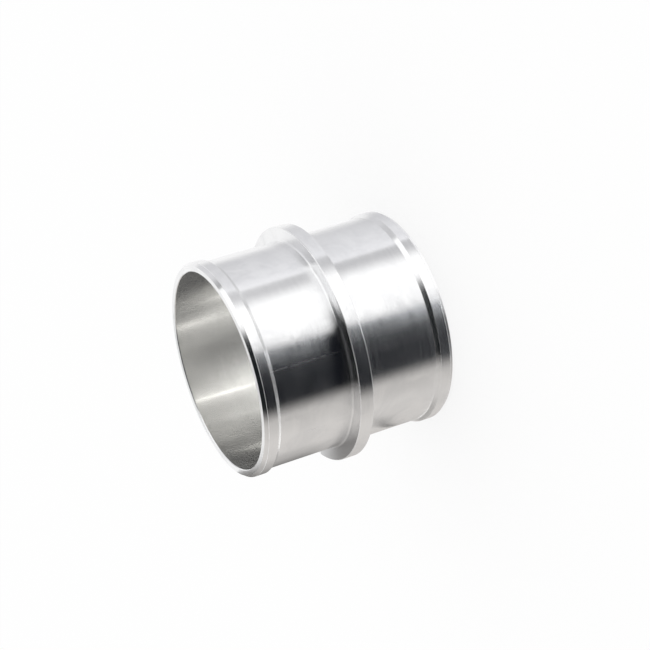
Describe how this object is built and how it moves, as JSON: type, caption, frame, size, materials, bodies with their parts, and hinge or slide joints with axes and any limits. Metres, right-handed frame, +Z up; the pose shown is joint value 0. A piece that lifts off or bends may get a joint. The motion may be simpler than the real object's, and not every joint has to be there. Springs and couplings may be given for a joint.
{
  "type": "hose coupler",
  "caption": "Straight turned aluminium hose coupler: a thin-walled tube, open right through, with a stop collar in the middle and a low retaining lip at each end.",
  "frame": {"origin": "centre of the lower end face, on the surface that the coupler stands on", "axes": "+Z runs up the tube's axis; the part is the same round the axis and either way up"},
  "size_m": [0.0864, 0.0864, 0.073],
  "materials": {
    "turned_aluminium": "bright turned finish with fine rings round the axis"
  },
  "bodies": {
    "root": {"coupler": "turned_aluminium"}
  },
  "joints": []
}
